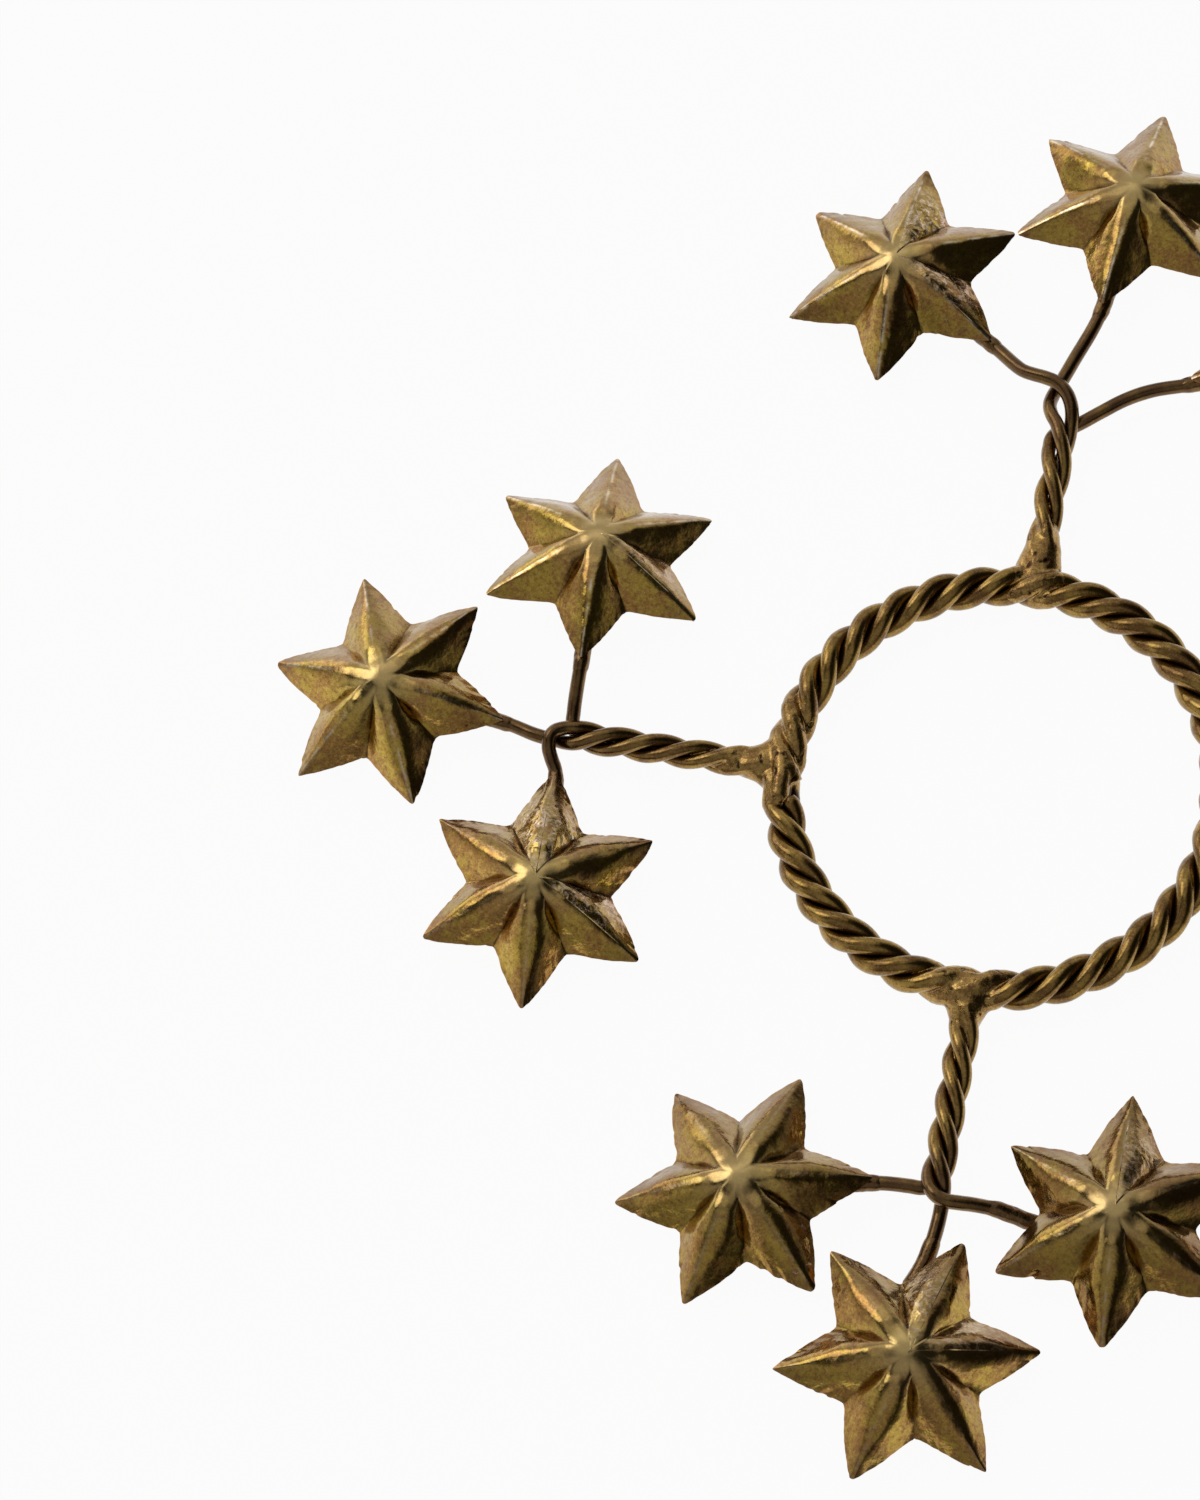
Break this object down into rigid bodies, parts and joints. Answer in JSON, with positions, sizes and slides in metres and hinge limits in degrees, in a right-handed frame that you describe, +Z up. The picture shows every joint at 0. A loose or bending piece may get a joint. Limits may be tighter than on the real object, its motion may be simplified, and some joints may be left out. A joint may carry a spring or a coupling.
{
  "type": "candle ring",
  "caption": "Twisted brass wire ring that drops over a taper candle and rests on the candlestick, with twisted wire arms that fan out into pressed six-pointed stars.",
  "frame": {"origin": "on the ring's axis, in the plane of the flat undersides that the ring rests on", "axes": "+Z up along the candle, out of the fronts of the stars; the arms point along +Y, -X, -Y and +X"},
  "size_m": [0.093, 0.0917, 0.0048],
  "materials": {
    "ring_wire": "aged and browned, drawn wire",
    "arm_wire": "aged and browned, drawn wire",
    "star_sheet": "aged and mottled, rubbed bright along the ridges",
    "solder": "pitted and dull"
  },
  "bodies": {
    "root": {"ring_strand_1": "ring_wire", "ring_strand_2": "ring_wire", "ring_strand_3": "ring_wire", "north_arm_wire_left": "arm_wire", "north_arm_wire_middle": "arm_wire", "north_arm_wire_right": "arm_wire", "west_arm_wire_left": "arm_wire", "west_arm_wire_middle": "arm_wire", "west_arm_wire_right": "arm_wire", "south_arm_wire_left": "arm_wire", "south_arm_wire_middle": "arm_wire", "south_arm_wire_right": "arm_wire", "east_arm_wire_left": "arm_wire", "east_arm_wire_middle": "arm_wire", "east_arm_wire_right": "arm_wire", "north_star_left": "star_sheet", "north_star_middle": "star_sheet", "north_star_right": "star_sheet", "west_star_left": "star_sheet", "west_star_middle": "star_sheet", "west_star_right": "star_sheet", "south_star_left": "star_sheet", "south_star_middle": "star_sheet", "south_star_right": "star_sheet", "east_star_left": "star_sheet", "east_star_middle": "star_sheet", "east_star_right": "star_sheet", "north_star_left_solder": "solder", "north_star_middle_solder": "solder", "north_star_right_solder": "solder", "west_star_left_solder": "solder", "west_star_middle_solder": "solder", "west_star_right_solder": "solder", "south_star_left_solder": "solder", "south_star_middle_solder": "solder", "south_star_right_solder": "solder", "east_star_left_solder": "solder", "east_star_middle_solder": "solder", "east_star_right_solder": "solder", "north_root_solder": "solder", "west_root_solder": "solder", "south_root_solder": "solder", "east_root_solder": "solder"}
  },
  "joints": []
}
